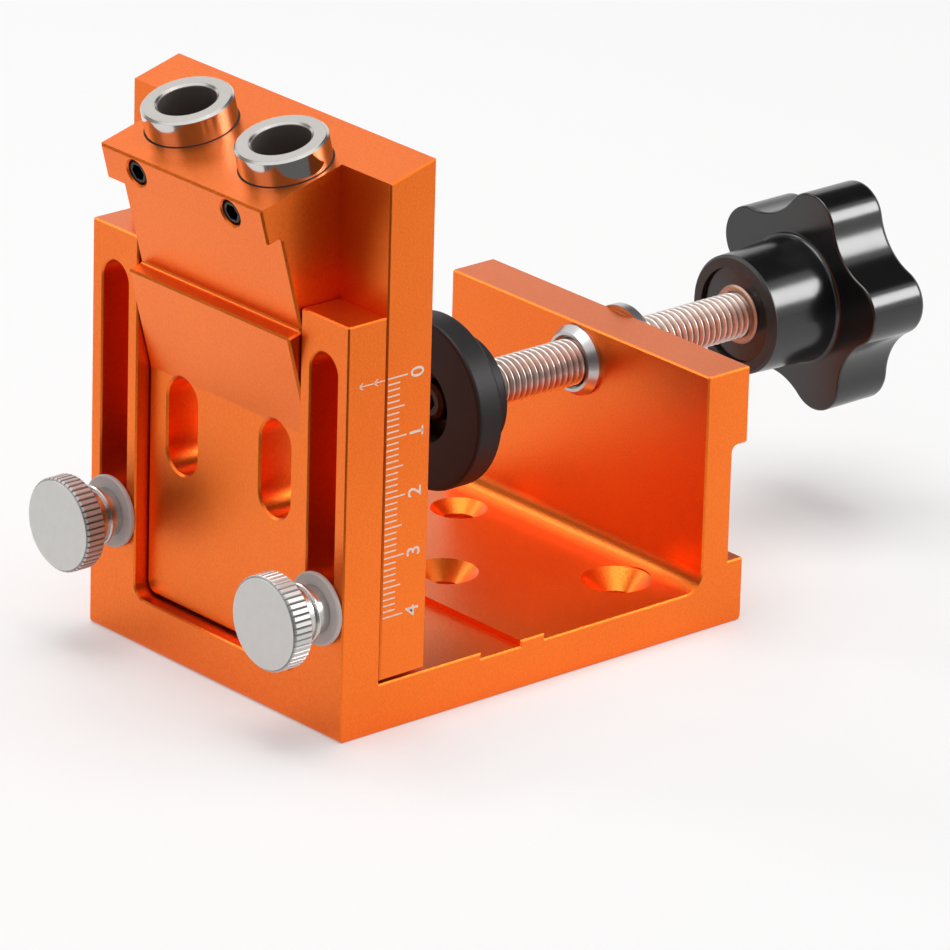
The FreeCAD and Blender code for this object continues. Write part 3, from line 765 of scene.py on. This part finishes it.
@dataclass
class DrillCarriage:
    """The sliding drill guide with its ruled scale, bushes and set screws."""

    node: str = "drill_carriage"
    zero_height: float = 59.25 * MM
    tick_start: float = 8.2 * MM
    tick_width: float = 0.24 * MM
    tick_count: int = 40
    tick_pitch: float = 1.0 * MM
    ticks_per_digit: int = 10
    digit_height: float = 2.6 * MM
    digit_share_of_font: float = 0.7
    digit_place: float = 14.3 * MM
    digit_boldness: float = 0.03 * MM
    foot_height: float = 0.34 * MM
    foot_width: float = 1.5 * MM
    front_y: float = -42.5 * MM
    depth: float = 0.03 * MM
    tilt: float = math.radians(15)
    bush_bore: float = 4.75 * MM
    bush_radius: float = 7.5 * MM
    seat_width: float = 0.22 * MM
    seat_tuck: float = 0.1 * MM
    seat_low: float = -0.05 * MM
    seat_high: float = 0.02 * MM
    seat_steps: int = 64
    bush_stand: float = 4.4 * MM
    bush_seat_y: float = -38.916 * MM
    bush_seat_z: float = 90.029 * MM
    bush_x: float = 11.55 * MM

    def build(self, anodised: bpy.types.Material, engraved: bpy.types.Material) -> None:
        """Dresses the carriage's nodes and engraves its scale.

        Args:
            anodised: The carriage's material.
            engraved: The scale's material.
        """
        dress(self.node, anodised)
        black = MachinedMetal("black_oxide", (0.035, 0.034, 0.034), roughness=0.3).make()
        for name in SIDES:
            finish = PolishedBush(
                f"polished_bush_{name}",
                self.bush_seat(name),
                self.tilt,
                self.bush_bore,
                self.bush_stand,
            )
            dress(f"drill_bush_{name}", finish.make())
            dress(f"bush_set_screw_{name}", black)
        # Painted shadow: a near-black ring just proud of the carriage round each bush's seat.
        seat_shadow_black = MachinedMetal("seat_shadow_paint", (0.02, 0.005, 0.003), roughness=0.8, metallic=0.0).make()
        for name in SIDES:
            finish_piece(self.seat_line(name), seat_shadow_black, "carriage")
        finish_piece(self.scale_ticks(), engraved, "carriage")
        for digit in range(self.tick_count // self.ticks_per_digit + 1):
            finish_piece(self.scale_digit(digit), engraved, "carriage")

    def bush_seat(self, name: str) -> Point:
        """Where the foot of the left or right bush stands."""
        return (SIDES[name] * self.bush_x, self.bush_seat_y, self.bush_seat_z)

    def seat_line(self, name: str) -> bpy.types.Object:
        """Painted shadow of the gap round the hole that a bush stands in.

        Args:
            name: The side's name.

        Returns:
            A thin ring round the foot of the bush.
        """
        bm = bmesh.new()
        inner = self.bush_radius - self.seat_tuck
        outer = self.bush_radius + self.seat_width
        low, high = self.seat_low, self.seat_high
        corners = ((inner, low), (outer, low), (outer, high), (inner, high))
        verts = [bm.verts.new((radius, 0, z)) for radius, z in corners]
        edges = [bm.edges.new((verts[index - 1], verts[index])) for index in range(len(verts))]
        bmesh.ops.spin(
            bm,
            geom=verts + edges,
            cent=(0, 0, 0),
            axis=(0, 0, 1),
            dvec=(0, 0, 0),
            angle=FULL_TURN,
            steps=self.seat_steps,
            use_merge=True,
            use_duplicate=False,
        )
        place = Matrix.Translation(self.bush_seat(name)) @ Matrix.Rotation(self.tilt, 4, "X")
        bmesh.ops.transform(bm, matrix=place, verts=bm.verts)
        bmesh.ops.recalc_face_normals(bm, faces=bm.faces)
        return piece_from(bm, f"seat_line_{name}")

    def tick_kind(self, index: int) -> TickKind:
        """How long a line of the scale is.

        Args:
            index: The line's number, counted down from zero.

        Returns:
            Its length, as one of three.
        """
        if index % self.ticks_per_digit == 0:
            return TickKind.LONG
        return TickKind.MIDDLE if index % (self.ticks_per_digit // 2) == 0 else TickKind.SHORT

    def side_x(self) -> float:
        """Where the carriage's ruled side lies."""
        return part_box(self.node)[1].x

    def scale_ticks(self) -> bpy.types.Object:
        """Every line of the scale.

        Returns:
            The lines as one piece.
        """
        side_x = self.side_x()
        bm = bmesh.new()
        for index in range(self.tick_count + 1):
            length = self.tick_kind(index).value
            centre = Vector((
                side_x,
                self.front_y + self.tick_start + length / 2,
                self.zero_height - index * self.tick_pitch,
            ))
            add_block(bm, centre, Vector((self.depth, length, self.tick_width)))
        return piece_from(bm, "scale_lines")

    def scale_digit(self, digit: int) -> bpy.types.Object:
        """One number of the scale, its head towards the front wall.

        Args:
            digit: The number of centimetres.

        Returns:
            The number as a thin mesh on the carriage's side.
        """
        curve = bpy.data.curves.new(f"scale_number_{digit}", "FONT")
        curve.body = str(digit)
        curve.align_x = "CENTER"
        curve.align_y = "CENTER"
        curve.size = self.digit_height / self.digit_share_of_font
        curve.extrude = self.depth / 2
        curve.offset = self.digit_boldness
        text = bpy.data.objects.new("text", curve)
        bpy.context.scene.collection.objects.link(text)
        bpy.context.view_layer.update()
        depsgraph = bpy.context.evaluated_depsgraph_get()
        mesh = bpy.data.meshes.new_from_object(text.evaluated_get(depsgraph))
        bpy.data.objects.remove(text)
        bm = bmesh.new()
        bm.from_mesh(mesh)
        bpy.data.meshes.remove(mesh)
        if digit == 1:
            foot = Vector((0, (self.foot_height - self.digit_height) / 2, 0))
            add_block(bm, foot, Vector((self.foot_width, self.foot_height, self.depth)))
        height = self.zero_height - digit * self.ticks_per_digit * self.tick_pitch
        place = Matrix.Translation((self.side_x(), self.front_y + self.digit_place, height))
        # The number's face looks along +X, its head along -Y and its right side along +Z.
        facing = Matrix(((0, 0, 1, 0), (0, -1, 0, 0), (1, 0, 0, 0), (0, 0, 0, 1)))
        bmesh.ops.transform(bm, matrix=place @ facing, verts=bm.verts)
        return piece_from(bm, f"scale_number_{digit}")


@dataclass
class ThumbScrews:
    """The two knurled thumb screws and their nylon washers."""

    spacing: float = 51.6 * MM
    height: float = 21.3 * MM
    face_y: float = -53.8 * MM
    face_depth: float = 0.05 * MM
    head_radius: float = 7.8 * MM

    def build(self) -> None:
        """Dresses both thumb screws and washers."""
        nylon = Nylon().make()
        for name, side in SIDES.items():
            steel = TurnedSteel(
                f"knurled_steel_{name}",
                (side * self.spacing / 2, self.face_y, self.height),
                face_before=self.face_depth,
                knurl_radius=self.head_radius,
            )
            dress(f"thumb_screw_{name}", steel.make())
            dress(f"nylon_washer_{name}", nylon)


@dataclass
class Clamp:
    """The screw clamp: threaded spindle, bush, pad and star knob.

    The profile gives shares of the pitch and of the thread's depth, from root to root.
    """

    height: float = 37.65 * MM
    hub_front: float = 68.6 * MM
    pitch: float = 1.25 * MM
    crest_radius: float = 3.95 * MM
    root_radius: float = 3.22 * MM
    journal_radius: float = 3.0 * MM
    journal_start: float = 4.8 * MM
    thread_start: float = 7.2 * MM
    thread_end: float = 81.35 * MM
    steps: int = 40
    merge_distance: float = 0.002 * MM
    cut_distance: float = 0.0005 * MM
    profile: tuple[tuple[float, float], ...] = (
        (0.0, 0.0),
        (0.12, 0.08),
        (0.30, 0.62),
        (0.40, 0.92),
        (0.50, 1.0),
        (0.60, 0.92),
        (0.70, 0.62),
        (0.88, 0.08),
        (1.0, 0.0),
    )

    def build(self) -> None:
        """Cuts the spindle's thread and dresses the clamp."""
        spindle = self.threaded_spindle()
        axis = (0, 0, self.height)
        steel = ThreadedSteel("nickel_thread", axis, self.root_radius, self.crest_radius)
        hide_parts("clamp_spindle")
        finish_piece(spindle, steel.make(), "spindle")
        satin = TurnedSteel("satin_steel", axis, (0.56, 0.54, 0.53), roughness=0.27).make()
        dress("spindle_bush", satin)
        dress("bush_lock_nut", satin)
        matt = MouldedPlastic(
            "matt_black", (0.012, 0.010, 0.0105), roughness=0.48, relief=0.01 * MM, ior=1.33
        )
        dress("clamp_pad", matt.make())
        black = MachinedMetal("blackened_screw", (0.05, 0.048, 0.047), roughness=0.35).make()
        dress("pad_screw", black)
        dress("pad_washer", black)
        gloss = MouldedPlastic(
            "gloss_black",
            (0.005, 0.005, 0.0055),
            roughness=0.2,
            relief=0.002 * MM,
            texture=300.0,
            ior=1.6,
            face_before=self.hub_front,
        )
        dress("star_knob", gloss.make())
        insert = MachinedMetal("machined_insert", (0.62, 0.40, 0.30), roughness=0.5)
        dress("knob_insert", insert.make())

    def threaded_spindle(self) -> bpy.types.Object:
        """Spindle with a right-hand helical thread and a plain journal at its nose.

        Returns:
            The spindle as one piece.
        """
        bm = bmesh.new()
        self.add_thread(bm)
        self.add_journal(bm)
        bmesh.ops.recalc_face_normals(bm, faces=bm.faces)
        return piece_from(bm, "threaded_spindle", smooth=True)

    def add_thread(self, bm: bmesh.types.BMesh) -> None:
        """Spins one turn of the thread, doubles it up to its length and cuts both ends square.

        Args:
            bm: The mesh in the making.
        """
        first = self.thread_start - self.pitch
        depth = self.crest_radius - self.root_radius
        verts = []
        for share, height in self.profile:
            radius = self.root_radius + height * depth
            verts.append(bm.verts.new((radius, first + share * self.pitch, self.height)))
        edges = [bm.edges.new(pair) for pair in zip(verts, verts[1:])]
        bmesh.ops.spin(
            bm,
            geom=verts + edges,
            cent=(0, 0, self.height),
            axis=(0, 1, 0),
            dvec=(0, self.pitch / self.steps, 0),
            angle=FULL_TURN,
            steps=self.steps,
            use_merge=False,
            use_duplicate=False,
        )
        turns = 1
        while first + turns * self.pitch < self.thread_end:
            copy = bmesh.ops.duplicate(bm, geom=bm.verts[:] + bm.edges[:] + bm.faces[:])
            fresh = [item for item in copy["geom"] if isinstance(item, bmesh.types.BMVert)]
            bmesh.ops.translate(bm, verts=fresh, vec=(0, turns * self.pitch, 0))
            turns *= 2
        bmesh.ops.remove_doubles(bm, verts=bm.verts, dist=self.merge_distance)
        for y, normal in ((self.thread_start, -1), (self.thread_end, 1)):
            cut = bmesh.ops.bisect_plane(
                bm,
                geom=bm.verts[:] + bm.edges[:] + bm.faces[:],
                dist=self.cut_distance,
                plane_co=(0, y, 0),
                plane_no=(0, normal, 0),
                clear_outer=True,
            )
            rim = [item for item in cut["geom_cut"] if isinstance(item, bmesh.types.BMEdge)]
            bmesh.ops.contextual_create(bm, geom=rim)

    def add_journal(self, bm: bmesh.types.BMesh) -> None:
        """Adds the plain journal that carries the pad.

        Args:
            bm: The mesh in the making.
        """
        length = self.thread_start - self.journal_start
        middle = Matrix.Translation((0, self.journal_start + length / 2, self.height))
        bmesh.ops.create_cone(
            bm,
            cap_ends=True,
            segments=self.steps,
            radius1=self.journal_radius,
            radius2=self.journal_radius,
            depth=length,
            matrix=middle @ Matrix.Rotation(FULL_TURN / 4, 4, "X"),
        )


# Studio

def flat_piece(name: str, place: Matrix, grey: float) -> tuple[bpy.types.Object, Surface]:
    """A flat square without gloss, for the studio.

    Args:
        name: The piece's name, and its material's.
        place: Where it lies and how far it stretches, from a square of one metre.
        grey: How pale it is, from 0 to 1.

    Returns:
        The piece, and the surface of its material.
    """
    bm = bmesh.new()
    bmesh.ops.create_grid(bm, x_segments=1, y_segments=1, size=0.5, matrix=place)
    piece = piece_from(bm, name)
    surface = Surface(name)
    surface.set(base_color=(grey, grey, grey, 1.0), roughness=0.9, specular_ior_level=0.0)
    piece.data.materials.append(surface.material)
    return piece, surface


@dataclass(frozen=True)
class PhotoCamera:
    """Camera at the photograph's viewing angle, through a long lens."""

    azimuth: float = math.radians(48.612)
    elevation: float = math.radians(21.441)
    roll: float = math.radians(1.589)
    distance: float = 1.3411
    lens: float = 316.74
    aim: Point = (9.586 * MM, 3.469 * MM, 27.525 * MM)
    reach: float = 20.0

    def build(self) -> None:
        """Creates the camera and makes it the scene's."""
        back = Vector((
            math.sin(self.azimuth) * math.cos(self.elevation),
            -math.cos(self.azimuth) * math.cos(self.elevation),
            math.sin(self.elevation),
        ))
        level = Vector((math.cos(self.azimuth), math.sin(self.azimuth), 0.0))
        upright = back.cross(level)
        right = math.cos(self.roll) * level + math.sin(self.roll) * upright
        up = back.cross(right)
        data = bpy.data.cameras.new("camera")
        data.lens = self.lens
        data.clip_end = self.reach
        camera = bpy.data.objects.new("camera", data)
        turn = Matrix((right, up, back)).transposed().to_4x4()
        camera.matrix_world = Matrix.Translation(Vector(self.aim) + back * self.distance) @ turn
        bpy.context.scene.collection.objects.link(camera)
        bpy.context.scene.camera = camera


@dataclass(frozen=True)
class Softbox:
    """One area lamp, aimed at the jig, and seen by gloss alone where it is gloss_only."""

    name: str
    place: Point
    size: tuple[float, float]
    power: float
    gloss_only: bool = False

    def build(self, target: Vector) -> None:
        """Creates the lamp.

        Args:
            target: What it faces.
        """
        data = bpy.data.lights.new(self.name, "AREA")
        data.shape = "RECTANGLE"
        data.size, data.size_y = self.size
        data.energy = self.power
        lamp = bpy.data.objects.new(self.name, data)
        lamp.visible_diffuse = not self.gloss_only
        lamp.location = self.place
        lamp.rotation_mode = "QUATERNION"
        lamp.rotation_quaternion = (Vector(self.place) - target).to_track_quat("Z", "Y")
        bpy.context.scene.collection.objects.link(lamp)


@dataclass(frozen=True)
class DarkCard:
    """A dark card that gloss alone sees, so that the jig's metal and plastic mirror it."""

    name: str
    place: Point
    size: tuple[float, float]
    grey: float = 0.03
    flat: bool = False

    def build(self, target: Vector) -> None:
        """Creates the card.

        Args:
            target: What it faces, unless it lies flat on the floor.
        """
        aim = target - Vector(self.place)
        turn = Matrix.Rotation(math.atan2(aim.y, aim.x), 4, "Z")
        toward = turn if self.flat else aim.to_track_quat("Z", "Y").to_matrix().to_4x4()
        stretch = Matrix.Diagonal((*self.size, 1.0, 1.0))
        place = Matrix.Translation(self.place) @ toward @ stretch
        card, _ = flat_piece(self.name, place, self.grey)
        for sight in ("visible_camera", "visible_diffuse", "visible_shadow"):
            setattr(card, sight, False)


@dataclass(frozen=True)
class Studio:
    """Pale floor, soft lamps, pale walls, dark cards and the camera."""

    aim: Point = (0.0, 0.0, 40 * MM)
    floor_size: float = 6.0
    floor_grey: float = 0.95
    floor_glow: float = 0.3
    wall_light: float = 0.43
    softboxes: tuple[Softbox, ...] = (
        Softbox("top_lamp", (-0.05, -0.05, 1.3), (0.9, 0.9), 10.5),
        Softbox("key_lamp", (-0.98, -0.52, 0.93), (0.35, 0.30), 1.5),
        Softbox("rim_lamp", (0.70, 0.73, 0.53), (0.45, 0.42), 7.0, gloss_only=True),
    )
    cards: tuple[DarkCard, ...] = (
        DarkCard("camera_card", (1.12, -0.99, 0.45), (2.2, 1.1), grey=0.15),
        DarkCard("floor_card", (0.34, -0.30, 0.002), (0.7, 0.7), grey=0.15, flat=True),
        DarkCard("ceiling_card", (-0.25, 0.75, 0.95), (1.3, 0.9)),
        DarkCard("left_card", (-0.98, -0.86, 0.40), (1.1, 0.66), grey=0.22),
    )

    def build(self) -> None:
        """Sets up the floor, the lamps, the cards, the world and the camera."""
        self.floor()
        for item in (*self.softboxes, *self.cards):
            item.build(Vector(self.aim))
        self.world()
        PhotoCamera().build()
        bpy.context.scene.view_settings.view_transform = "Standard"

    def seen(self, shading: Shading) -> Signal:
        """Mask of the rays that see the background: from the camera, a gloss or a clear piece.

        Args:
            shading: The node tree that gets the mask.

        Returns:
            1 for such a ray, and 0 for any other.
        """
        path = shading.node("ShaderNodeLightPath", {}, {})
        camera, gloss, clear = (
            Signal(shading, path.outputs[f"Is {kind} Ray"])
            for kind in ("Camera", "Glossy", "Transmission")
        )
        return 1.0 - (1.0 - camera) * (1.0 - gloss) * (1.0 - clear)

    def floor(self) -> None:
        """Plain pale floor that keeps the jig's shadow and looks near white."""
        stretch = Matrix.Diagonal((self.floor_size, self.floor_size, 1.0, 1.0))
        floor, surface = flat_piece("floor", stretch, self.floor_grey)
        glow = surface.node("ShaderNodeEmission", {}, {"Strength": 1.0})
        mix = surface.node(
            "ShaderNodeMixShader",
            {},
            {
                0: self.seen(surface) * self.floor_glow,
                1: Signal(surface, surface.shader.outputs["BSDF"]),
                2: Signal(surface, glow.outputs["Emission"]),
            },
        )
        surface.feed(surface.output.inputs["Surface"], Signal(surface, mix.outputs["Shader"]))

    def world(self) -> None:
        """White surroundings for whatever sees them, and a plain level of light from them."""
        world = bpy.data.worlds.new("surroundings")
        world.use_nodes = True
        sky = Shading(world.node_tree)
        seen = self.seen(sky)
        strength = seen + (1.0 - seen) * self.wall_light
        white = (1.0, 1.0, 1.0, 1.0)
        background = sky.node("ShaderNodeBackground", {}, {"Color": white, "Strength": strength})
        glow = Signal(sky, background.outputs["Background"])
        sky.node("ShaderNodeOutputWorld", {}, {"Surface": glow})
        bpy.context.scene.world = world


def main() -> None:
    """Builds and dresses every sub-assembly, then sets up the studio."""
    logging.basicConfig(level=logging.INFO, format="%(message)s")
    anodised = AnodisedAluminium().make()
    engraved = EngravedMark().make()
    BaseFrame().build(anodised, engraved)
    DrillCarriage().build(anodised, engraved)
    ThumbScrews().build()
    Clamp().build()
    Studio().build()


if __name__ == "__main__":
    main()
